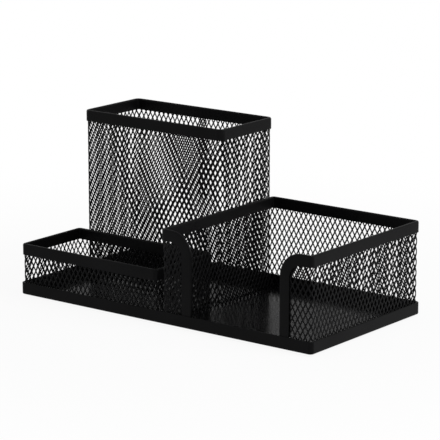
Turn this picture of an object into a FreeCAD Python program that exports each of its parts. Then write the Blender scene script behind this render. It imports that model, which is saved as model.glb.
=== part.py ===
import FreeCAD, Part
import math
import os

# A desk organizer of expanded steel mesh: one sheet-steel pan carries three open boxes, a tall
# pen cup at the back left, a low clip tray in front of it and a memo bin at the right whose front
# has a wide notch. Each box is a strip of mesh bent round its corners, and a folded steel strip
# binds every free edge of the mesh.
# Lengths are in millimetres. X runs from left to right, Y from front to back and Z up. The origin
# is on the surface that the organizer stands on, below the middle of the pan.

# Base pan, with its lip hemmed over on itself
PAN_LENGTH = 205.0
PAN_DEPTH = 104.0
PAN_SHEET = 0.6
PAN_CORNER_RADIUS = 2.5
PAN_FOLD_CHAMFER = 0.5
LIP_HEIGHT = 7.0
LIP_HEM = 1.0
LIP_EDGE_CHAMFER = 0.3

# Square rubber pads under the pan
FOOT_SIZE = 10.0
FOOT_HEIGHT = 1.2
FOOT_EDGE_CHAMFER = 0.4
FOOT_INSET = 14.0

# Boxes, measured over their mesh, the gaps from mesh to mesh, and the one from the cup's mesh to
# the strip of the bin beside it
BIN_LENGTH = 100.3
TRAY_DEPTH = 49.6
TRAY_TO_CUP_GAP = 4.35
TRAY_TO_BIN_GAP = 4.2
CUP_TO_BIN_STRIP_GAP = 0.1
CUP_SIDE_INSET = 1.95

# Heights over the binding strip, from the underside of the pan
TRAY_HEIGHT = 29.7
CUP_HEIGHT = 99.6
BIN_HEIGHT = 53.4

# Bends of the mesh at the corners of each box, on its outer face
TRAY_BEND_RADIUS = 2.0
CUP_BEND_RADIUS = 3.0
BIN_BEND_RADIUS = 2.0

# Expanded mesh: diamonds that stand on their points
MESH_THICKNESS = 0.8
MESH_CELL_LENGTH = 3.45
MESH_CELL_HEIGHT = 6.0
MESH_STRAND = 0.7
# The diamonds are drawn this many times as large as the real ones, strands too, so that the open
# part of a wall and its weight stay as they are
MESH_COARSENING_SHARE = 3.7
# Diamonds cut smaller than this share of a whole one by the edge of a wall are left out
LEAST_OPENING_SHARE = 0.04

# Binding strip, folded over the edge of the mesh in a half round that is drawn as flats
STRIP_SHEET = 0.5
STRIP_HEIGHT = 6.5
STRIP_CLEARANCE = 0.05
STRIP_FOLD_FLATS = 4

# Notch in the front of the memo bin
NOTCH_CURVE_RADIUS = 14.0
NOTCH_TOP_RUN = 4.6

# How far a cutting shape passes the faces that it cuts
OVERRUN = 1.0

# Worked out from the sizes above
MESH_SETBACK = LIP_HEM + STRIP_CLEARANCE
STRIP_THICKNESS = MESH_THICKNESS + 2 * (STRIP_CLEARANCE + STRIP_SHEET)
STRIP_FOLD_RADIUS = STRIP_THICKNESS / 2
FLOOR_TOP = FOOT_HEIGHT + PAN_SHEET
LIP_TOP = FOOT_HEIGHT + LIP_HEIGHT
MESH_BEHIND_LIP = LIP_TOP - FLOOR_TOP
MESH_IN_STRIP = STRIP_HEIGHT - STRIP_FOLD_RADIUS

UP = FreeCAD.Vector(0, 0, 1)
QUARTER_TURN = 90
HALF_QUARTER_TURN = QUARTER_TURN / 2


def at(x, y, z):
    return FreeCAD.Vector(x, y, z)


def line(start, end):
    return Part.LineSegment(start, end).toShape()


def arc(start, middle, end):
    return Part.Arc(start, middle, end).toShape()


def around(centre, radius, degrees):
    """A point on a level circle, counted from +X towards +Y."""
    angle = math.radians(degrees)
    return centre + at(radius * math.cos(angle), radius * math.sin(angle), 0)


def rounded_block(left, front, right, back, radius, bottom, top):
    """A level block with its four upright edges rounded."""
    block = Part.makeBox(right - left, back - front, top - bottom, at(left, front, bottom))
    upright = [edge for edge in block.Edges if abs(edge.tangentAt(edge.FirstParameter).z) > 1 / 2]
    return block.makeFillet(radius, upright)


def edges_at_height(solid, height):
    return [edge for edge in solid.Edges
            if abs(edge.BoundBox.ZMin - height) < Part.Precision.confusion()
            and abs(edge.BoundBox.ZMax - height) < Part.Precision.confusion()]


class Box:
    """One open box: the outer faces of its mesh, its bend and its height over the strip."""

    def __init__(self, left, front, right, back, bend, height):
        self.left = left
        self.front = front
        self.right = right
        self.back = back
        self.bend = bend
        self.length = right - left
        self.depth = back - front
        self.strip_top = FOOT_HEIGHT + height
        self.mesh_height = self.strip_top - STRIP_FOLD_RADIUS - FLOOR_TOP


def diamond_openings(window, start, length, bottom, height):
    """The openings of the mesh over a flat run, cut off at the edges of the window."""
    columns = max(1, round(length / (MESH_CELL_LENGTH * MESH_COARSENING_SHARE)))
    rows = max(1, round(height / (MESH_CELL_HEIGHT * MESH_COARSENING_SHARE)))
    half_length = length / columns / 2
    half_height = height / rows / 2
    to_strand_middle = half_length * half_height / math.hypot(half_length, half_height)
    open_share = 1 - MESH_STRAND * MESH_COARSENING_SHARE / 2 / to_strand_middle
    across = half_length * open_share
    along = half_height * open_share
    through = MESH_THICKNESS + 2 * OVERRUN
    diamonds = []
    for column in range(2 * columns + 1):
        for row in range(2 * rows + 1):
            if (column + row) % 2:
                continue
            middle = at(start + column * half_length, -OVERRUN, bottom + row * half_height)
            corners = [middle + at(across, 0, 0), middle + at(0, 0, along),
                       middle + at(-across, 0, 0), middle + at(0, 0, -along)]
            outline = Part.makePolygon(corners, True)
            diamonds.append(Part.Face(outline).extrude(at(0, through, 0)))
    whole = 2 * across * along * through
    pieces = window.common(Part.makeCompound(diamonds)).Solids
    return [piece for piece in pieces if piece.Volume > LEAST_OPENING_SHARE * whole]


def level_arc(centre, radius, start, end):
    """An arc of a level circle, in degrees from +X towards +Y."""
    middle = (start + end) / 2
    return arc(around(centre, radius, start), around(centre, radius, middle), around(centre, radius, end))


def plain_wall(length, height, bend):
    """A wall with half of a bend at each end, along +X from the box's corner, outer face at Y 0."""
    inner = bend - MESH_THICKNESS
    first = at(bend, bend, 0)
    last = at(length - bend, bend, 0)
    front = 3 * QUARTER_TURN
    half = HALF_QUARTER_TURN
    plan = [
        level_arc(first, bend, front - half, front),
        line(around(first, bend, front), around(last, bend, front)),
        level_arc(last, bend, front, front + half),
        line(around(last, bend, front + half), around(last, inner, front + half)),
        level_arc(last, inner, front + half, front),
        line(around(last, inner, front), around(first, inner, front)),
        level_arc(first, inner, front, front - half),
        line(around(first, inner, front - half), around(first, bend, front - half)),
    ]
    return Part.Face(Part.Wire(plan)).extrude(UP * height)


def mesh_wall(length, height, bend, against_lip):
    """A wall of mesh between two bends, open up to the strip from the lip or, away from it, the floor."""
    border = MESH_STRAND * MESH_COARSENING_SHARE / 4
    flat = length - 2 * bend
    bottom = MESH_BEHIND_LIP if against_lip else 2 * border
    open_height = height - bottom - MESH_IN_STRIP
    window = Part.makeBox(flat - 2 * border, MESH_THICKNESS + 2 * OVERRUN, open_height,
                          at(bend + border, -OVERRUN, bottom))
    openings = diamond_openings(window, bend, flat, bottom, open_height)
    return plain_wall(length, height, bend).cut(openings)


def notch_panel_block(end, top, curve, start, bottom):
    """What the notch leaves of a wall: upright from start to end, with a large curve at the top."""
    centre = at(end - curve, -OVERRUN, top - curve)
    lean = curve * math.sin(math.radians(HALF_QUARTER_TURN))
    outline = [
        line(at(start, -OVERRUN, bottom), at(end, -OVERRUN, bottom)),
        line(at(end, -OVERRUN, bottom), at(end, -OVERRUN, top - curve)),
        arc(at(end, -OVERRUN, top - curve), centre + at(lean, 0, lean), at(end - curve, -OVERRUN, top)),
        line(at(end - curve, -OVERRUN, top), at(start, -OVERRUN, top)),
        line(at(start, -OVERRUN, top), at(start, -OVERRUN, bottom)),
    ]
    depth = 2 * OVERRUN + MESH_THICKNESS
    return Part.Face(Part.Wire(outline)).extrude(at(0, depth, 0))


def notched_wall_panel(length, height, bend, end):
    """The panel of mesh between the box's corner and the notch, whose mesh stops at end."""
    border = MESH_STRAND * MESH_COARSENING_SHARE / 4
    curve = NOTCH_CURVE_RADIUS - STRIP_FOLD_RADIUS
    open_height = height - MESH_BEHIND_LIP - MESH_IN_STRIP
    open_length = end - bend - MESH_IN_STRIP
    wall = plain_wall(length, height, bend)
    bend_strip = wall.common(Part.makeBox(bend, 2 * bend, height, at(0, -bend, 0)))
    flat_panel = wall.common(notch_panel_block(end, height, curve, bend, 0))
    window = notch_panel_block(end - MESH_IN_STRIP, height - MESH_IN_STRIP, curve - MESH_IN_STRIP,
                               bend + border, MESH_BEHIND_LIP)
    openings = diamond_openings(window, bend, open_length, MESH_BEHIND_LIP, open_height)
    return flat_panel.cut(openings).fuse(bend_strip).removeSplitter()


def place_wall(wall, box, side):
    """Turns a wall to its side of the box: front, right, back or left, counted from 0."""
    corners = [at(box.left, box.front, FLOOR_TOP), at(box.right, box.front, FLOOR_TOP),
               at(box.right, box.back, FLOOR_TOP), at(box.left, box.back, FLOOR_TOP)]
    turn = FreeCAD.Rotation(UP, side * QUARTER_TURN)
    placed = wall.copy()
    placed.Placement = FreeCAD.Placement(corners[side], turn)
    return placed


def strip_section(top):
    """The folded strip's U section, across the run along X that starts at top."""
    fold = STRIP_FOLD_RADIUS
    slot = fold - STRIP_SHEET
    half_flat = math.pi / STRIP_FOLD_FLATS / 2
    corner_radius = fold / math.cos(half_flat)
    fold_centre = top - UP * fold
    half_round = []
    for step in range(STRIP_FOLD_FLATS):
        angle = half_flat * (2 * step + 1)
        corner = at(0, corner_radius * math.cos(angle), corner_radius * math.sin(angle))
        half_round.append(fold_centre + corner)
    legs = [
        top + at(0, -fold, -STRIP_HEIGHT),
        top + at(0, -slot, -STRIP_HEIGHT),
        fold_centre + at(0, -slot, 0),
        fold_centre + at(0, slot, 0),
        top + at(0, slot, -STRIP_HEIGHT),
        top + at(0, fold, -STRIP_HEIGHT),
    ]
    return Part.Face(Part.makePolygon(half_round + legs, True))


def rim(box, start, end):
    """The strip over a box's top edge, from start on the front, round the back, to end on the front."""
    reach = MESH_THICKNESS / 2
    bend = box.bend - reach
    left = box.left + reach
    front = box.front + reach
    right = box.right - reach
    back = box.back - reach
    top = box.strip_top
    length = right - left - 2 * bend
    depth = back - front - 2 * bend
    begins = [at(start, front, top), at(right, front + bend, top), at(right - bend, back, top),
              at(left, back - bend, top), at(left + bend, front, top)]
    runs = [right - bend - start, depth, length, depth, end - left - bend]
    pieces = []
    for side, (begin, run) in enumerate(zip(begins, runs)):
        section = strip_section(at(0, 0, 0))
        turn = FreeCAD.Rotation(UP, side * QUARTER_TURN)
        piece = section.extrude(at(run, 0, 0))
        piece.Placement = FreeCAD.Placement(begin, turn)
        pieces.append(piece)
        if piece is not pieces[0]:
            corner = section.revolve(at(0, bend, 0), UP, -QUARTER_TURN)
            corner.Placement = FreeCAD.Placement(begin, turn)
            pieces.append(corner)
    return pieces[0].fuse(pieces[1:]).removeSplitter()


def notch_edging(box, end):
    """The strip round the notch's left side: the large curve, then straight down to the lip."""
    top = at(end - NOTCH_CURVE_RADIUS, box.front + MESH_THICKNESS / 2, box.strip_top)
    centre = top - UP * NOTCH_CURVE_RADIUS
    section = strip_section(top)
    curve = section.revolve(centre, at(0, 1, 0), QUARTER_TURN)
    foot = section.copy()
    foot.rotate(centre, at(0, 1, 0), QUARTER_TURN)
    upright = foot.extrude(UP * (LIP_TOP - centre.z))
    return curve.fuse(upright).removeSplitter()


def mirrored(shape, x):
    return shape.mirror(at(x, 0, 0), at(1, 0, 0))


def base_pan():
    left = -PAN_LENGTH / 2
    front = -PAN_DEPTH / 2
    blank = rounded_block(left, front, -left, -front, PAN_CORNER_RADIUS, FOOT_HEIGHT, LIP_TOP)
    hollow = rounded_block(left + LIP_HEM, front + LIP_HEM, -left - LIP_HEM, -front - LIP_HEM,
                           PAN_CORNER_RADIUS - LIP_HEM, FLOOR_TOP, LIP_TOP + OVERRUN)
    pan = blank.cut(hollow)
    pan = pan.makeChamfer(LIP_EDGE_CHAMFER, edges_at_height(pan, LIP_TOP))
    return pan.makeChamfer(PAN_FOLD_CHAMFER, edges_at_height(pan, FOOT_HEIGHT))


def foot(x, y):
    pad = Part.makeBox(FOOT_SIZE, FOOT_SIZE, FOOT_HEIGHT, at(x - FOOT_SIZE / 2, y - FOOT_SIZE / 2, 0))
    return pad.makeChamfer(FOOT_EDGE_CHAMFER, edges_at_height(pad, 0))


# The boxes stand inside the lip: the bin takes the right end, the tray the front left corner,
# and the cup the place behind the tray
mesh_left = -PAN_LENGTH / 2 + MESH_SETBACK
mesh_front = -PAN_DEPTH / 2 + MESH_SETBACK
mesh_right = -mesh_left
mesh_back = -mesh_front
bin_left = mesh_right - BIN_LENGTH
tray_back = mesh_front + TRAY_DEPTH

tray_right = bin_left - TRAY_TO_BIN_GAP
cup_left = mesh_left + CUP_SIDE_INSET
cup_front = tray_back + TRAY_TO_CUP_GAP
cup_right = bin_left - STRIP_CLEARANCE - STRIP_SHEET - CUP_TO_BIN_STRIP_GAP

memo_bin = Box(bin_left, mesh_front, mesh_right, mesh_back, BIN_BEND_RADIUS, BIN_HEIGHT)
clip_tray = Box(mesh_left, mesh_front, tray_right, tray_back, TRAY_BEND_RADIUS, TRAY_HEIGHT)
pen_cup = Box(cup_left, cup_front, cup_right, mesh_back, CUP_BEND_RADIUS, CUP_HEIGHT)

nodes = {"base_pan": base_pan()}

# Walls and rims of the two boxes that are closed all round
closed_boxes = (("pen_cup", pen_cup, ("back",)), ("clip_tray", clip_tray, ("front", "left")))
for name, box, sides_at_lip in closed_boxes:
    for side, side_name in enumerate(("front", "right", "back", "left")):
        length = box.depth if side % 2 else box.length
        wall = mesh_wall(length, box.mesh_height, box.bend, side_name in sides_at_lip)
        nodes[name + "_" + side_name + "_mesh"] = place_wall(wall, box, side)
    middle = (box.left + box.right) / 2
    nodes[name + "_rim"] = rim(box, middle, middle)

# Memo bin: three whole walls, and what the notch leaves of the front
for side, side_name in ((1, "right"), (2, "back"), (3, "left")):
    length = memo_bin.depth if side % 2 else memo_bin.length
    wall = mesh_wall(length, memo_bin.mesh_height, memo_bin.bend, side_name != "left")
    nodes["memo_bin_" + side_name + "_mesh"] = place_wall(wall, memo_bin, side)

bin_middle = (memo_bin.left + memo_bin.right) / 2
curve_start = memo_bin.left + memo_bin.bend + NOTCH_TOP_RUN
strip_end = curve_start + NOTCH_CURVE_RADIUS
panel_end = strip_end - STRIP_FOLD_RADIUS - memo_bin.left
panel = notched_wall_panel(memo_bin.length, memo_bin.mesh_height, memo_bin.bend, panel_end)
left_panel = place_wall(panel, memo_bin, 0)
left_edging = notch_edging(memo_bin, strip_end)
nodes["memo_bin_front_left_mesh"] = left_panel
nodes["memo_bin_front_right_mesh"] = mirrored(left_panel, bin_middle)
nodes["memo_bin_left_notch_edging"] = left_edging
nodes["memo_bin_right_notch_edging"] = mirrored(left_edging, bin_middle)
nodes["memo_bin_rim"] = rim(memo_bin, 2 * bin_middle - curve_start, curve_start)

# Feet, one near each corner
foot_x = PAN_LENGTH / 2 - FOOT_INSET
foot_y = PAN_DEPTH / 2 - FOOT_INSET
for y, end_name in ((-foot_y, "front"), (foot_y, "back")):
    for x, side_name in ((-foot_x, "left"), (foot_x, "right")):
        nodes["foot_" + end_name + "_" + side_name] = foot(x, y)

os.makedirs("parts", exist_ok=True)
for name, shape in nodes.items():
    solids = shape.Solids
    whole = solids[0] if len(solids) == 1 else shape
    print(name, len(solids), "solid", whole.isValid(), "volume", round(whole.Volume, 1))
    whole.exportStep("parts/" + name + ".step")
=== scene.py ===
# %% [markdown]
# # A desk organizer of steel mesh
#
# The real object is folded and bent from thin steel. One sheet-steel pan with an upturned lip
# carries three open boxes of expanded mesh: a tall pen cup, a low clip tray and a memo bin with a
# notch in its front. A narrow strip of steel, folded over like a hem, binds every free edge of the
# mesh, and the whole is powder coated black.
#
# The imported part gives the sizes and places. This lesson dresses it: each step first says what the
# piece is on the real object, and then makes it in the way that a maker would, with Blender's mesh
# operators in the place of the folding tools.

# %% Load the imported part
import math

import bmesh
import bpy
from mathutils import Matrix, Vector


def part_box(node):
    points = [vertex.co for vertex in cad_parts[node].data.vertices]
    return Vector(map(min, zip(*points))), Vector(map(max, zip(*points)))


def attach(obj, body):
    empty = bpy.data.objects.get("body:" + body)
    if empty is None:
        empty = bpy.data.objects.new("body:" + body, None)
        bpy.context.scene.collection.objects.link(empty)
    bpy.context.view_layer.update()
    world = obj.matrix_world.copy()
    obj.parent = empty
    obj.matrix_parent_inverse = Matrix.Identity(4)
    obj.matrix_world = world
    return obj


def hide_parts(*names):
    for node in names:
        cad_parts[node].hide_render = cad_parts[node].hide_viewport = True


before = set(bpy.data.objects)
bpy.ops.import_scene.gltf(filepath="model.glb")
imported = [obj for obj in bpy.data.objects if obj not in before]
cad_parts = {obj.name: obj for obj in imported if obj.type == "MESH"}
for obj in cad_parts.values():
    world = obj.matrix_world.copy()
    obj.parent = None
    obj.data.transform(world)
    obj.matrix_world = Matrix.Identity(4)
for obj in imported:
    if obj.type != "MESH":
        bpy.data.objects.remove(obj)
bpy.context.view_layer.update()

mm = 0.001
print("nodes in the part:", len(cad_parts))

# %% [markdown]
# ## Camera
#
# A product photographer stands well back with a long lens, so that upright edges stay upright and
# parallel edges hardly draw together. The camera looks down on the front right corner a little.
# Its place is given as two angles and a distance from the point that it looks at, which is easier
# to correct than three coordinates.

# %% Set up the camera
look_at = Vector((3.52, -2.09, 50.58)) * mm
azimuth = math.radians(37.69)
elevation = math.radians(13.27)
distance = 1339 * mm
towards_camera = Vector((
    math.sin(azimuth) * math.cos(elevation),
    -math.cos(azimuth) * math.cos(elevation),
    math.sin(elevation),
))

camera = bpy.data.objects.new("camera", bpy.data.cameras.new("camera"))
camera.data.sensor_width = 36
camera.data.lens = 195.84
camera.location = look_at + towards_camera * distance
camera.rotation_euler = towards_camera.to_track_quat("Z", "Y").to_euler()
bpy.context.scene.collection.objects.link(camera)
bpy.context.scene.camera = camera
print("camera at", [round(value, 3) for value in camera.location],
      "with a lens of", round(camera.data.lens, 2), "mm")

# %% [markdown]
# ## Studio
#
# A black object on white needs little: a white sweep all round, and a large soft light from the
# right, which makes the right-hand faces lighter than the front ones. The world is white where the
# camera or a reflection looks at it, and weaker where it only lights the object. The floor is
# matt white. Seen by the camera it is helped towards plain white, more so further out, so that no
# horizon shows, but near the object enough of the matt white is left to hold the soft shadow.

# %% World
fill_strength = 0.5
scene = bpy.context.scene
scene.view_settings.view_transform = "Standard"

world = bpy.data.worlds.new("white_studio")
world.use_nodes = True
scene.world = world
world_nodes = world.node_tree.nodes
world_links = world.node_tree.links


def seen_directly(nodes, links):
    """A value of 1 for rays from the camera, a reflection or a refraction, and 0 for other light."""
    path = nodes.new("ShaderNodeLightPath")
    reflected = nodes.new("ShaderNodeMath")
    reflected.operation = "MAXIMUM"
    links.new(path.outputs["Is Camera Ray"], reflected.inputs[0])
    links.new(path.outputs["Is Glossy Ray"], reflected.inputs[1])
    refracted = nodes.new("ShaderNodeMath")
    refracted.operation = "MAXIMUM"
    links.new(reflected.outputs[0], refracted.inputs[0])
    links.new(path.outputs["Is Transmission Ray"], refracted.inputs[1])
    return refracted.outputs[0]


fill_light = world_nodes["Background"]
fill_light.inputs["Color"].default_value = (1, 1, 1, 1)
fill_light.inputs["Strength"].default_value = fill_strength
white_sweep = world_nodes.new("ShaderNodeBackground")
white_sweep.inputs["Color"].default_value = (1, 1, 1, 1)
white_sweep.inputs["Strength"].default_value = 1
choose = world_nodes.new("ShaderNodeMixShader")
world_links.new(seen_directly(world_nodes, world_links), choose.inputs["Fac"])
world_links.new(fill_light.outputs["Background"], choose.inputs[1])
world_links.new(white_sweep.outputs["Background"], choose.inputs[2])
world_links.new(choose.outputs["Shader"], world_nodes["World Output"].inputs["Surface"])
print("world:", world.name, "with a fill of", fill_strength)

# %% Lamp
softbox_place = Vector((1.35, 0.25, 0.85))
softbox_size = 0.9
softbox_power = 14
softbox = bpy.data.objects.new("main_softbox", bpy.data.lights.new("main_softbox", "AREA"))
softbox.data.shape = "SQUARE"
softbox.data.size = softbox_size
softbox.data.energy = softbox_power
softbox.location = softbox_place
softbox.rotation_euler = (softbox_place - look_at).to_track_quat("Z", "Y").to_euler()
scene.collection.objects.link(softbox)
print("softbox:", softbox_power, "W,", round((softbox_place - look_at).length, 2), "m away")

# %% Floor
floor_radius = 4
gap_below_part = 0.05 * mm
floor_bm = bmesh.new()
bmesh.ops.create_circle(floor_bm, cap_ends=True, segments=64, radius=floor_radius)
bmesh.ops.translate(floor_bm, vec=(0, 0, -gap_below_part), verts=floor_bm.verts)
floor = bpy.data.objects.new("studio_floor", bpy.data.meshes.new("studio_floor"))
floor_bm.to_mesh(floor.data)
floor_bm.free()
scene.collection.objects.link(floor)
print("floor:", len(floor.data.polygons), "round face of", 2 * floor_radius, "m")

# %% Floor paint
shadow_share = 0.08
shadow_fades_from = 0.12
shadow_fades_to = 0.40

floor_paint = bpy.data.materials.new("floor_paint")
floor_paint.use_nodes = True
nodes = floor_paint.node_tree.nodes
links = floor_paint.node_tree.links
matt = nodes["Principled BSDF"]
matt.inputs["Base Color"].default_value = (0.9, 0.9, 0.9, 1)
matt.inputs["Roughness"].default_value = 1
matt.inputs["Specular IOR Level"].default_value = 0
glow = nodes.new("ShaderNodeEmission")
glow.inputs["Color"].default_value = (1, 1, 1, 1)
glow.inputs["Strength"].default_value = 1

place = nodes.new("ShaderNodeTexCoord")
from_middle = nodes.new("ShaderNodeVectorMath")
from_middle.operation = "LENGTH"
links.new(place.outputs["Object"], from_middle.inputs[0])
fade = nodes.new("ShaderNodeMapRange")
fade.interpolation_type = "SMOOTHSTEP"
fade.inputs["From Min"].default_value = shadow_fades_from
fade.inputs["From Max"].default_value = shadow_fades_to
fade.inputs["To Min"].default_value = 1 - shadow_share
fade.inputs["To Max"].default_value = 1
links.new(from_middle.outputs["Value"], fade.inputs["Value"])
share = nodes.new("ShaderNodeMath")
share.operation = "MULTIPLY"
links.new(fade.outputs["Result"], share.inputs[0])
links.new(seen_directly(nodes, links), share.inputs[1])
blend = nodes.new("ShaderNodeMixShader")
links.new(share.outputs[0], blend.inputs["Fac"])
links.new(matt.outputs["BSDF"], blend.inputs[1])
links.new(glow.outputs["Emission"], blend.inputs[2])
links.new(blend.outputs["Shader"], nodes["Material Output"].inputs["Surface"])
floor.data.materials.append(floor_paint)
print("floor paint:", shadow_share, "of the shadow is kept near the object")

# %% [markdown]
# ## Powder coat
#
# Powder coat is sprayed on dry and melted in an oven, so it flows into a skin with a faint orange
# peel and a fine grain in its gloss. It could be one flat black, but then every face would look
# like paper. Three sizes of noise make the finish instead: a slow drift of tone over centimetres,
# the orange peel of about a millimetre, and a grain finer than that. All of them are read from
# Object coordinates, so the skin runs on from one piece to the next.

# %% Material helpers
drift_scale = 35
peel_scale = 850
grain_scale = 3200


def noise(nodes, links, place, scale, detail):
    """Noise in Object coordinates. Its scale counts the blotches in a metre."""
    texture = nodes.new("ShaderNodeTexNoise")
    texture.inputs["Scale"].default_value = scale
    texture.inputs["Detail"].default_value = detail
    texture.inputs["Roughness"].default_value = 0.5
    links.new(place.outputs["Object"], texture.inputs["Vector"])
    return texture.outputs["Fac"]


def spread(nodes, links, value, low, high):
    """Stretches a noise, which stays near its middle, over the range from low to high."""
    stretch = nodes.new("ShaderNodeMapRange")
    stretch.inputs["From Min"].default_value = 0.3
    stretch.inputs["From Max"].default_value = 0.7
    stretch.inputs["To Min"].default_value = low
    stretch.inputs["To Max"].default_value = high
    links.new(value, stretch.inputs["Value"])
    return stretch.outputs["Result"]


def powder_coat(name, deep, pale, gloss, grain, peel):
    """A coat with a deep and a pale tone, a range of roughness, and heights of grain and orange peel."""
    coat = bpy.data.materials.new(name)
    coat.use_nodes = True
    nodes = coat.node_tree.nodes
    links = coat.node_tree.links
    shader = nodes["Principled BSDF"]
    shader.inputs["Metallic"].default_value = 0
    shader.inputs["IOR"].default_value = 1.45
    shader.inputs["Specular IOR Level"].default_value = 0.06
    place = nodes.new("ShaderNodeTexCoord")

    drift = noise(nodes, links, place, drift_scale, 3)
    tone = nodes.new("ShaderNodeMix")
    tone.data_type = "RGBA"
    tone.inputs["A"].default_value = (*deep, 1)
    tone.inputs["B"].default_value = (*pale, 1)
    links.new(spread(nodes, links, drift, 0, 1), tone.inputs["Factor"])
    links.new(tone.outputs["Result"], shader.inputs["Base Color"])

    fine = noise(nodes, links, place, grain_scale, 2)
    links.new(spread(nodes, links, fine, *gloss), shader.inputs["Roughness"])

    coarse = noise(nodes, links, place, peel_scale, 2)
    orange_peel = nodes.new("ShaderNodeBump")
    orange_peel.inputs["Strength"].default_value = 1
    orange_peel.inputs["Distance"].default_value = peel
    links.new(coarse, orange_peel.inputs["Height"])
    fine_grain = nodes.new("ShaderNodeBump")
    fine_grain.inputs["Strength"].default_value = 1
    fine_grain.inputs["Distance"].default_value = grain
    links.new(fine, fine_grain.inputs["Height"])
    links.new(orange_peel.outputs["Normal"], fine_grain.inputs["Normal"])
    links.new(fine_grain.outputs["Normal"], shader.inputs["Normal"])
    return coat


print("blotches of drift, peel and grain in mm:",
      [round(1 / (scale * mm), 1) for scale in (drift_scale, peel_scale, grain_scale)])

# %% Coats for the pan, the strips and the mesh
pan_coat = powder_coat("black_pan_coat", (0.0018, 0.0018, 0.0020), (0.0042, 0.0042, 0.0045),
                       gloss=(0.15, 0.21), grain=0.0006 * mm, peel=0.004 * mm)
strip_coat = powder_coat("black_strip_coat", (0.0020, 0.0020, 0.0022), (0.0046, 0.0046, 0.0049),
                         gloss=(0.34, 0.48), grain=0.006 * mm, peel=0.016 * mm)
# The mesh has the strips' black coat in paler tones: painted light, which stands in for the strands'
# sheen.
mesh_coat = powder_coat("black_mesh_coat_with_painted_sheen", (0.0036, 0.0036, 0.0039), (0.0078, 0.0078, 0.0082),
                        gloss=(0.36, 0.50), grain=0.006 * mm, peel=0.010 * mm)
print("coats:", pan_coat.name, strip_coat.name, mesh_coat.name)

# %% [markdown]
# ## From a bmesh to a finished piece
#
# Every piece ends in the same way. The bmesh becomes an object at the origin, it gets its coat and
# smooth shading, it rides on the part's one body, and it stands for the plain solids that it
# replaces. Flat sheet beside a tight fold would shade like a cushion, so a Weighted Normal modifier
# lets the large flat faces set the shading.

# %% Finish a piece
touching = 0.001 * mm


def finish_piece(bm, name, coat, slot, *stands_for):
    """Makes the bmesh an object in its coat that stands for solids of the part."""
    bmesh.ops.remove_doubles(bm, verts=bm.verts, dist=touching)
    bmesh.ops.recalc_face_normals(bm, faces=bm.faces)
    loose = sum(1 for edge in bm.edges if not edge.is_manifold)
    mesh = bpy.data.meshes.new(name)
    bm.to_mesh(mesh)
    bm.free()
    mesh.shade_smooth()
    mesh.materials.append(coat)
    piece = bpy.data.objects.new(name, mesh)
    scene.collection.objects.link(piece)
    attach(piece, "root")
    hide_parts(*stands_for)
    triangles = sum(len(face.vertices) - 2 for face in mesh.polygons)
    print(name, "has", triangles, "triangles and", loose, "open edges")
    return piece


def keep_flats_flat(piece):
    """Lets the large flat faces set the shading."""
    weighted = piece.modifiers.new("flats", "WEIGHTED_NORMAL")
    weighted.weight = 100
    weighted.keep_sharp = True


# %% [markdown]
# ## Base pan
#
# The pan is one sheet: a floor, a lip bent up all round, and the lip's edge folded back on itself
# so that it is smooth to the hand. It could be a thin surface with a Solidify modifier, but the hem
# makes the lip thicker than the floor. So it starts as a flat blank with rounded corners that is
# raised to the height of the lip. The hem's width is inset, and what is left inside is pushed down
# to the floor. Narrow bevels then round the folds.

# %% Raise the blank
pan_low, pan_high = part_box("base_pan")
pan_size = pan_high - pan_low
pan_corner = 2.5 * mm


def points_in(geom):
    """The points among the things that an operator gives back."""
    return [item for item in geom if isinstance(item, bmesh.types.BMVert)]


pan = bmesh.new()
bmesh.ops.create_grid(pan, x_segments=1, y_segments=1, size=0.5)
bmesh.ops.scale(pan, vec=(pan_size.x, pan_size.y, 1), verts=pan.verts)
bmesh.ops.translate(pan, vec=(0, 0, pan_low.z), verts=pan.verts)
bmesh.ops.bevel(pan, geom=pan.verts[:], offset=pan_corner, offset_type="OFFSET", segments=8,
                profile=0.5, affect="VERTICES", material=-1)
raised = bmesh.ops.extrude_face_region(pan, geom=pan.faces[:])["geom"]
bmesh.ops.translate(pan, vec=(0, 0, pan_size.z), verts=points_in(raised))
print("blank:", len(pan.faces), "faces, raised by", round(pan_size.z / mm, 2), "mm")

# %% Push the floor down
hem = 1.0 * mm
pan_sheet = 0.6 * mm
pan_floor = next(face for face in raised if isinstance(face, bmesh.types.BMFace))
bmesh.ops.inset_region(pan, faces=[pan_floor], thickness=hem, use_even_offset=True)
sunk = bmesh.ops.extrude_face_region(pan, geom=[pan_floor])["geom"]
depth = pan_size.z - pan_sheet
bmesh.ops.translate(pan, vec=(0, 0, -depth), verts=points_in(sunk))
bmesh.ops.delete(pan, geom=[pan_floor], context="FACES_ONLY")
print("floor of the pan:", round(depth / mm, 2), "mm below the lip")

# %% Round the folds
bottom_fold = 0.8 * mm
inner_fold = 0.5 * mm
hem_fold = 0.42 * mm


def level_edges(bm, height):
    """The edges at a height where the sheet makes a sharp turn."""
    return [edge for edge in bm.edges if all(abs(v.co.z - height) < touching for v in edge.verts)
            and edge.calc_face_angle(0) > math.radians(45)]


folds = ((pan_low.z, bottom_fold), (pan_low.z + pan_sheet, inner_fold), (pan_high.z, hem_fold))
for height, radius in folds:
    bmesh.ops.bevel(pan, geom=level_edges(pan, height), offset=radius, offset_type="OFFSET", segments=4,
                    profile=0.5, affect="EDGES", clamp_overlap=True, material=-1)
pan_piece = finish_piece(pan, "pan_with_lip", pan_coat, "pan_coat", "base_pan")
keep_flats_flat(pan_piece)

# %% [markdown]
# ## Binding strips
#
# Each box's top edge sits in a strip of thin steel that is folded over it, so the strip's section
# is a narrow U with a round fold. The section is made as the strip is: a short line, which is the
# cut edge of the sheet, runs up one side, turns over the fold and runs down the other. Then the
# section travels round the box, straight along each wall and turning at each bend, which is what
# extrude and spin are for. The memo bin's strip leaves the top at the notch, goes round a large
# curve and runs down to the lip, so it travels in the same way with two more turns.

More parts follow.
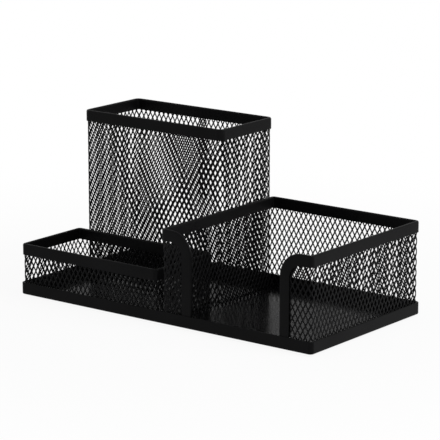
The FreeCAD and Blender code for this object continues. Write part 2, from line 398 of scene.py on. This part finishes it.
# %% Section of a strip
strip_sheet = 0.5 * mm
rim_low, rim_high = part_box("pen_cup_rim")
strip_height = rim_high.z - rim_low.z
strip_thickness = 1.9 * mm
fold = strip_thickness / 2
fold_steps = 10
cut_edge_radius = 0.14 * mm


def travel(bm, edges, vector):
    """Extrudes edges along a straight way and returns the edges at its end."""
    new = bmesh.ops.extrude_edge_only(bm, edges=edges)["geom"]
    points = points_in(new)
    bmesh.ops.translate(bm, vec=vector, verts=points)
    return [item for item in new
            if isinstance(item, bmesh.types.BMEdge) and all(v in points for v in item.verts)]


def turn(bm, edges, pivot, axis, angle, steps):
    """Extrudes edges round a pivot and returns the edges at the end."""
    last = bmesh.ops.spin(bm, geom=edges, cent=pivot, axis=axis, angle=angle, steps=steps)["geom_last"]
    return [item for item in last if isinstance(item, bmesh.types.BMEdge)]


def strip_section(bm, top):
    """A folded strip's section across X, with its fold at top, as one face."""
    outer = bm.verts.new(top + Vector((0, -fold, -strip_height)))
    inner = bm.verts.new(top + Vector((0, -fold + strip_sheet, -strip_height)))
    rise = Vector((0, 0, strip_height - fold))
    edges = travel(bm, [bm.edges.new((outer, inner))], rise)
    edges = turn(bm, edges, top - Vector((0, 0, fold)), (1, 0, 0), -math.pi, fold_steps)
    travel(bm, edges, -rise)
    cut_corners = [v for v in bm.verts if len(v.link_edges) == 2]
    bmesh.ops.bevel(bm, geom=cut_corners, offset=cut_edge_radius, offset_type="OFFSET", segments=2,
                    profile=0.5, affect="VERTICES", material=-1)
    return bmesh.ops.dissolve_faces(bm, faces=bm.faces[:])["region"][0]


trial = bmesh.new()
print("section with", len(strip_section(trial, Vector((0, 0, 0))).verts), "points round it")
trial.free()

# %% Walls of a box
wall_thickness = 0.8 * mm
cup_bend = 3.0 * mm
low_box_bend = 2.0 * mm


class MeshBox:
    """The middle of a box's mesh in plan, the radius of its bends there, and its heights."""

    def __init__(self, front, right, back, left, rim, bend):
        half = wall_thickness / 2
        self.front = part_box(front)[0].y + half
        self.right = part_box(right)[1].x - half
        self.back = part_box(back)[1].y - half
        self.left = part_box(left)[0].x + half
        self.bend = bend - half
        self.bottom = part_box(right)[0].z
        self.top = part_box(right)[1].z
        self.strip_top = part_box(rim)[1].z
        self.middle = (self.left + self.right) / 2
        self.long_run = self.right - self.left - 2 * self.bend
        self.short_run = self.back - self.front - 2 * self.bend


pen_cup = MeshBox("pen_cup_front_mesh", "pen_cup_right_mesh", "pen_cup_back_mesh", "pen_cup_left_mesh",
                  "pen_cup_rim", cup_bend)
clip_tray = MeshBox("clip_tray_front_mesh", "clip_tray_right_mesh", "clip_tray_back_mesh",
                    "clip_tray_left_mesh", "clip_tray_rim", low_box_bend)
memo_bin = MeshBox("memo_bin_front_left_mesh", "memo_bin_right_mesh", "memo_bin_back_mesh",
                   "memo_bin_left_mesh", "memo_bin_rim", low_box_bend)
for box in (pen_cup, clip_tray, memo_bin):
    print("box of mesh:", round((box.right - box.left) / mm, 2), "by",
          round((box.back - box.front) / mm, 2), "mm, up to", round(box.strip_top / mm, 2), "mm")

# %% Travel of the section
corner_steps = 6


def round_the_box(bm, edges, box, first_run, last_run):
    """Takes a section from the front wall once round the box, anticlockwise as seen from above."""
    corners = [
        (Vector((box.right - box.bend, box.front + box.bend, 0)), Vector((0, box.short_run, 0))),
        (Vector((box.right - box.bend, box.back - box.bend, 0)), Vector((-box.long_run, 0, 0))),
        (Vector((box.left + box.bend, box.back - box.bend, 0)), Vector((0, -box.short_run, 0))),
        (Vector((box.left + box.bend, box.front + box.bend, 0)), Vector((last_run, 0, 0))),
    ]
    edges = travel(bm, edges, Vector((first_run, 0, 0)))
    for pivot, run in corners:
        edges = turn(bm, edges, pivot, (0, 0, 1), math.pi / 2, corner_steps)
        edges = travel(bm, edges, run)
    return edges


# %% Strips of the cup and the tray


def closed_strip(name, box, node):
    """A strip once round a box, from the middle of the front wall and back to it."""
    bm = bmesh.new()
    section = strip_section(bm, Vector((box.middle, box.front, box.strip_top)))
    outline = section.edges[:]
    bmesh.ops.delete(bm, geom=[section], context="FACES_ONLY")
    round_the_box(bm, outline, box, box.long_run / 2, box.long_run / 2)
    keep_flats_flat(finish_piece(bm, name, strip_coat, "strip_coat", node))


closed_strip("pen_cup_binding", pen_cup, "pen_cup_rim")
closed_strip("clip_tray_binding", clip_tray, "clip_tray_rim")

# %% Places of the notch
notch_curve = 14.0 * mm
edging_low, edging_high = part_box("memo_bin_left_notch_edging")
half_notch = memo_bin.middle - edging_high.x
curve_level = memo_bin.strip_top - notch_curve
upright = curve_level - edging_low.z
left_pivot = Vector((edging_low.x, memo_bin.front, curve_level))
right_pivot = Vector((memo_bin.middle + half_notch + notch_curve, memo_bin.front, curve_level))
print("notch:", round(2 * half_notch / mm, 1), "mm wide, with uprights of", round(upright / mm, 1), "mm")

# %% Strip of the memo bin
bin_strip = bmesh.new()
section = strip_section(bin_strip, Vector((right_pivot.x, memo_bin.front, memo_bin.strip_top)))
bmesh.ops.rotate(bin_strip, cent=right_pivot, matrix=Matrix.Rotation(-math.pi / 2, 3, "Y"),
                 verts=bin_strip.verts)
bmesh.ops.translate(bin_strip, vec=(0, 0, -upright), verts=bin_strip.verts)
outline = travel(bin_strip, section.edges[:], Vector((0, 0, upright)))
outline = turn(bin_strip, outline, right_pivot, (0, 1, 0), math.pi / 2, 2 * corner_steps)
first_run = memo_bin.right - memo_bin.bend - right_pivot.x
last_run = left_pivot.x - memo_bin.left - memo_bin.bend
outline = round_the_box(bin_strip, outline, memo_bin, first_run, last_run)
outline = turn(bin_strip, outline, left_pivot, (0, 1, 0), math.pi / 2, 2 * corner_steps)
outline = travel(bin_strip, outline, Vector((0, 0, -upright)))
bmesh.ops.contextual_create(bin_strip, geom=outline)
bin_strip_piece = finish_piece(bin_strip, "memo_bin_binding", strip_coat, "strip_coat", "memo_bin_rim",
                               "memo_bin_left_notch_edging", "memo_bin_right_notch_edging")
keep_flats_flat(bin_strip_piece)

# %% [markdown]
# ## Expanded mesh
#
# Expanded mesh is sheet steel with rows of short slits, pulled until the slits open into diamonds.
# It has no wires and no crossings: each strand is part of one sheet. A texture with holes would do
# from far off, but the walls are looked through one behind another, and only real openings give the
# play of light that this makes.
#
# A grid is poked, so that each square gets a middle point, and its old edges are dissolved. What is
# left are diamonds on their points. The sheet starts a little larger than it has to be and is trimmed
# later, as at the factory, so no diamond is stretched.

# %% Tiles of the mesh
diamond_length = 3.385 * mm
diamond_height = 5.96 * mm


def diamond_tiles(length, height, width, shift, drop):
    """Diamonds on a flat sheet in X and Z, moved along by shift, the lowest row hanging down by drop."""
    columns = math.ceil(length / width) + 2
    rows = math.ceil((height + drop) / diamond_height)
    bm = bmesh.new()
    bmesh.ops.create_grid(bm, x_segments=columns, y_segments=rows, size=0.5)
    bmesh.ops.scale(bm, vec=(width * columns, diamond_height * rows, 1), verts=bm.verts)
    bmesh.ops.translate(bm, vec=(width * (columns / 2 - 1) + shift, diamond_height * rows / 2 - drop, 0),
                        verts=bm.verts)
    bmesh.ops.rotate(bm, cent=(0, 0, 0), matrix=Matrix.Rotation(math.pi / 2, 3, "X"), verts=bm.verts)
    corners = set(bm.verts)
    bmesh.ops.poke(bm, faces=bm.faces[:])
    old_edges = [edge for edge in bm.edges if len(edge.link_faces) == 2
                 and edge.verts[0] in corners and edge.verts[1] in corners]
    bmesh.ops.dissolve_edges(bm, edges=old_edges, use_verts=False)
    return bm


sample = diamond_tiles(diamond_length * 10, diamond_height * 4, diamond_length, 0, 0)
print("sample of tiles:", len(sample.faces), "with", len(sample.verts), "points")

# %% [markdown]
# ### From tiles to strands
#
# The part has its walls 0.8 mm thick. The real sheet is thinner, and lies in the middle of them. Each
# diamond is inset by half of a strand, and its points are blunted as the coat blunts them. A
# second inset slopes down to the middle of the sheet, which makes the strands look rolled, and the
# opening is deleted. A mirror makes the back of the sheet. The shape is repeated thousands of times,
# so it has as few faces as it can: one point of each small cut is welded to the middle of the
# knuckle, where four strands meet.

# %% Openings
sheet_gauge = 0.5 * mm
strand = 0.89 * mm
edge_slope = 0.21 * mm
tip_blunting = 0.42 * mm
side_blunting = 0.25 * mm
least_opening_share = 0.15


def blunt(bm, points, reach):
    """Cuts off points of the openings, and carries each small cut on to the middle of its knuckle."""
    facets = bmesh.ops.bevel(bm, geom=points, offset=reach, offset_type="OFFSET", segments=1,
                             profile=0.5, affect="VERTICES", material=-1)["faces"]
    joined = {}
    for facet in facets:
        inner = min(facet.verts, key=lambda v: max(face.calc_area() for face in v.link_faces))
        way_out = next(edge for edge in inner.link_edges if edge not in facet.edges[:])
        joined[inner] = way_out.other_vert(inner)
    bmesh.ops.weld_verts(bm, targetmap=joined)


def open_diamonds(bm):
    """Turns tiles into one side of the mesh: strands with a flat top that slope down to the openings."""
    half_sheet = sheet_gauge / 2
    bmesh.ops.translate(bm, vec=(0, -half_sheet, 0), verts=bm.verts)
    bm.normal_update()
    tiles = bm.faces[:]
    flat_top = strand / 2 - edge_slope
    bmesh.ops.inset_individual(bm, faces=tiles, thickness=flat_top, use_even_offset=True)
    tips = []
    sides = []
    for tile in tiles:
        if len(tile.verts) == 4:
            middle = tile.calc_center_median()
            for v in tile.verts:
                is_tip = abs(v.co.x - middle.x) < abs(v.co.z - middle.z) / 2
                (tips if is_tip else sides).append(v)
    blunt(bm, tips, tip_blunting)
    blunt(bm, sides, side_blunting)
    least_opening = least_opening_share * diamond_length * diamond_height / 2
    openings = [face for face in bm.faces if face.calc_area() > least_opening]
    bmesh.ops.inset_individual(bm, faces=openings, thickness=edge_slope, depth=-half_sheet,
                               use_even_offset=True)
    bmesh.ops.delete(bm, geom=openings, context="FACES")
    return len(openings)


def close_the_back(bm):
    """Brings the sheet's outer edge to its middle and mirrors the front to make the back."""
    rim = [edge for edge in bm.edges
           if edge.is_boundary and all(v.co.y < -sheet_gauge / 4 for v in edge.verts)]
    new = bmesh.ops.extrude_edge_only(bm, edges=rim)["geom"]
    bmesh.ops.translate(bm, vec=(0, sheet_gauge / 2, 0), verts=points_in(new))
    bmesh.ops.mirror(bm, geom=bm.verts[:] + bm.edges[:] + bm.faces[:], axis="Y", merge_dist=touching)
    bmesh.ops.remove_doubles(bm, verts=bm.verts[:], dist=touching / 2)


count = open_diamonds(sample)
close_the_back(sample)
print("sample of mesh:", count, "openings,", round(len(sample.faces) / count, 1), "faces for each,",
      sum(1 for edge in sample.edges if not edge.is_manifold), "open edges")
sample.free()

# %% [markdown]
# ### Trimming and bending
#
# A sheet is trimmed with a bisecting plane, and the cut strands are closed. Then it is bent round its
# box. Bending could be left to a modifier, but a wall has to stay flat right up to its bend, so each
# point is carried along the walls and round the corners one by one, after a few upright cuts have given
# the bends enough points.

# %% Trim a sheet


def cut(bm, place, outside, drop_it):
    """Cuts the sheet along a line, and drops the side that outside points to if told so."""
    bmesh.ops.bisect_plane(bm, geom=bm.verts[:] + bm.edges[:] + bm.faces[:], dist=touching / 10,
                           plane_co=place, plane_no=outside, clear_outer=drop_it)


def close_cuts(bm):
    """Fills the ends of the strands that were cut."""
    bmesh.ops.holes_fill(bm, edges=[edge for edge in bm.edges if edge.is_boundary])


def trim_to_height(bm, height):
    """Takes off what lies below zero and above the height."""
    cut(bm, (0, 0, 0), (0, 0, -1), True)
    cut(bm, (0, 0, height), (0, 0, 1), True)
    close_cuts(bm)


# %% Bend a sheet round a box
flats_in_bend = 4


def bend_round(bm, box):
    """Wraps a flat sheet round a box: X becomes the way round from the front's middle, Y the depth."""
    quarter = box.bend * math.pi / 2
    runs = [box.long_run / 2, box.short_run, box.long_run, box.short_run, box.long_run / 2]
    begin = 0
    for run in runs[:-1]:
        begin += run
        for step in range(flats_in_bend + 1):
            cut(bm, (begin + quarter * step / flats_in_bend, 0, 0), (1, 0, 0), False)
        begin += quarter
    for v in bm.verts:
        way = v.co.x
        out = -v.co.y
        heading = Vector((1, 0, 0))
        point = Vector((box.middle, box.front, 0))
        for side, run in enumerate(runs):
            left_hand = Vector((-heading.y, heading.x, 0))
            step = min(way, run)
            point = point + heading * step
            way -= step
            if way <= 0 or side == len(runs) - 1:
                break
            angle = min(way, quarter) / box.bend
            pivot = point + left_hand * box.bend
            spin = Matrix.Rotation(angle, 3, "Z")
            point = pivot + spin @ (point - pivot)
            heading = spin @ heading
            way -= min(way, quarter)
            if way <= 0:
                break
        outward = Vector((heading.y, -heading.x, 0))
        v.co = point + outward * out + Vector((0, 0, box.bottom + v.co.z))


def way_round(box):
    """The length of the sheet that goes once round a box."""
    return 2 * box.long_run + 2 * box.short_run + 2 * math.pi * box.bend


print("way round the cup:", round(way_round(pen_cup) / mm, 1), "mm, round the tray:",
      round(way_round(clip_tray) / mm, 1), "mm")

# %% [markdown]
# ### The seam
#
# On the real object, the ends of a box's sheet lap each other by nearly two diamonds in the middle of
# the back wall, which shows as a darker band there. One sheet that overlaps itself would have to step
# inwards at its end. It is simpler to join the ends without a trace, and to set a short second layer
# against the inside of the back wall. The layer leans a little, so its diamonds get out of step with
# the wall's towards the top, and it ends below the strip, which has room for one layer only.
#
# The sheets are also not quite square to the pan: their rows of diamonds climb by one row on their way
# round. A climb of whole rows lets the ends meet, and it is what draws the slanting bands of light and
# shade where one wall is seen through another.

# %% Lap at the seam
lap_length = 5.6 * mm
lap_gap = 0.05 * mm
lap_lean = 0.035
print("lap:", round(lap_length / diamond_length, 2), "diamonds wide")


def seam_lap(box, length, width, shift, drop, climb):
    """The second layer of mesh at the seam: the same diamonds as in the wall there, leaning a little."""
    height = box.strip_top - strip_height - box.bottom
    start = (length - lap_length) / 2
    whole_diamonds = math.floor(start / width) * width
    bm = diamond_tiles(lap_length, height, width, shift + whole_diamonds, drop + climb)
    for v in bm.verts:
        v.co.z += climb * v.co.x / length
        v.co.x += lap_lean * (v.co.z - height / 2)
    open_diamonds(bm)
    close_the_back(bm)
    trim_to_height(bm, height)
    cut(bm, (start, 0, 0), (-1, 0, 0), True)
    cut(bm, (start + lap_length, 0, 0), (1, 0, 0), True)
    close_cuts(bm)
    bmesh.ops.translate(bm, vec=(0, sheet_gauge + lap_gap, 0), verts=bm.verts)
    bend_round(bm, box)
    return bm


# %% Mesh of the cup and the tray


def closed_mesh(name, box, nodes_replaced, columns, rows_climbed, shift_share, drop):
    """One sheet round a box, with a whole number of diamonds so that its ends meet, and its lap."""
    length = way_round(box)
    width = length / columns
    shift = shift_share * width
    climb = rows_climbed * diamond_height
    bm = diamond_tiles(length, box.top - box.bottom, width, shift, drop + climb)
    for v in bm.verts:
        v.co.z += climb * v.co.x / length
    count = open_diamonds(bm)
    close_the_back(bm)
    trim_to_height(bm, box.top - box.bottom)
    cut(bm, (0, 0, 0), (-1, 0, 0), True)
    cut(bm, (length, 0, 0), (1, 0, 0), True)
    bend_round(bm, box)
    lap = seam_lap(box, length, width, shift, drop, climb)
    lap_mesh = bpy.data.meshes.new("lap")
    lap.to_mesh(lap_mesh)
    lap.free()
    bm.from_mesh(lap_mesh)
    bpy.data.meshes.remove(lap_mesh)
    print(name, "with", count, "openings", round(width / mm, 3), "mm long")
    finish_piece(bm, name, mesh_coat, "mesh_coat", *nodes_replaced)


closed_mesh("pen_cup_mesh", pen_cup,
            ("pen_cup_front_mesh", "pen_cup_right_mesh", "pen_cup_back_mesh", "pen_cup_left_mesh"),
            columns=85, rows_climbed=1, shift_share=0.79, drop=4.64 * mm)
closed_mesh("clip_tray_mesh", clip_tray,
            ("clip_tray_front_mesh", "clip_tray_right_mesh", "clip_tray_back_mesh", "clip_tray_left_mesh"),
            columns=86, rows_climbed=1, shift_share=0.25, drop=3.0 * mm)

# %% [markdown]
# ## The notched mesh
#
# The memo bin's sheet is the same, but it ends at the notch, and its upper corners are trimmed to
# the curve there. The cut edge lies inside the strip, where nobody sees it, so no boolean is needed:
# diamonds in the notch are deleted, and the points that stick out past the curve are drawn in to it.

# %% Trim the memo bin's sheet to the notch
bin_shift = 2.2 * mm
bin_drop = 3.66 * mm
trim_curve = notch_curve - fold
half_gap = half_notch + fold
bin_length = way_round(memo_bin)
bin_height = memo_bin.top - memo_bin.bottom
sheet = diamond_tiles(bin_length, bin_height, diamond_length, bin_shift, bin_drop)


def drawn_in(point):
    """Where a point of the sheet belongs: itself, or the nearest place on the notch's outline."""
    from_notch = min(point.x, bin_length - point.x)
    mirrored = point.x > bin_length / 2
    curve_x = half_gap + trim_curve
    curve_z = bin_height - trim_curve
    across = from_notch - curve_x
    up = point.z - curve_z
    if up > 0 and across < 0 and math.hypot(across, up) > trim_curve:
        shrink = trim_curve / math.hypot(across, up)
        from_notch = curve_x + across * shrink
        height = curve_z + up * shrink
    else:
        from_notch = max(from_notch, half_gap)
        height = point.z
    return Vector((bin_length - from_notch if mirrored else from_notch, point.y, height))


dropped = [face for face in sheet.faces
           if (drawn_in(face.calc_center_median()) - face.calc_center_median()).length > touching]
bmesh.ops.delete(sheet, geom=dropped, context="FACES")
for v in sheet.verts:
    v.co = drawn_in(v.co)
print("notch:", len(dropped), "diamonds dropped,", len(sheet.faces), "kept")

# %% Open and bend the memo bin's sheet
open_diamonds(sheet)
close_the_back(sheet)
trim_to_height(sheet, bin_height)
bend_round(sheet, memo_bin)
finish_piece(sheet, "memo_bin_mesh", mesh_coat, "mesh_coat", "memo_bin_front_left_mesh",
             "memo_bin_front_right_mesh", "memo_bin_right_mesh", "memo_bin_back_mesh",
             "memo_bin_left_mesh")

# %% [markdown]
# ## Rubber feet
#
# Four pads keep the pan off the desk. Their shape in the part is already right, so the nodes stay
# and only get a rubber that is duller than the coat, with the fine pimples of a moulded pad.

# %% Rubber
foot_rubber = powder_coat("dull_rubber", (0.014, 0.014, 0.014), (0.024, 0.024, 0.024),
                          gloss=(0.7, 0.85), grain=0.02 * mm, peel=0.03 * mm)
for name in ("foot_front_left", "foot_front_right", "foot_back_left", "foot_back_right"):
    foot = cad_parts[name]
    foot.data.materials.clear()
    foot.data.materials.append(foot_rubber)
print("feet in", foot_rubber.name)
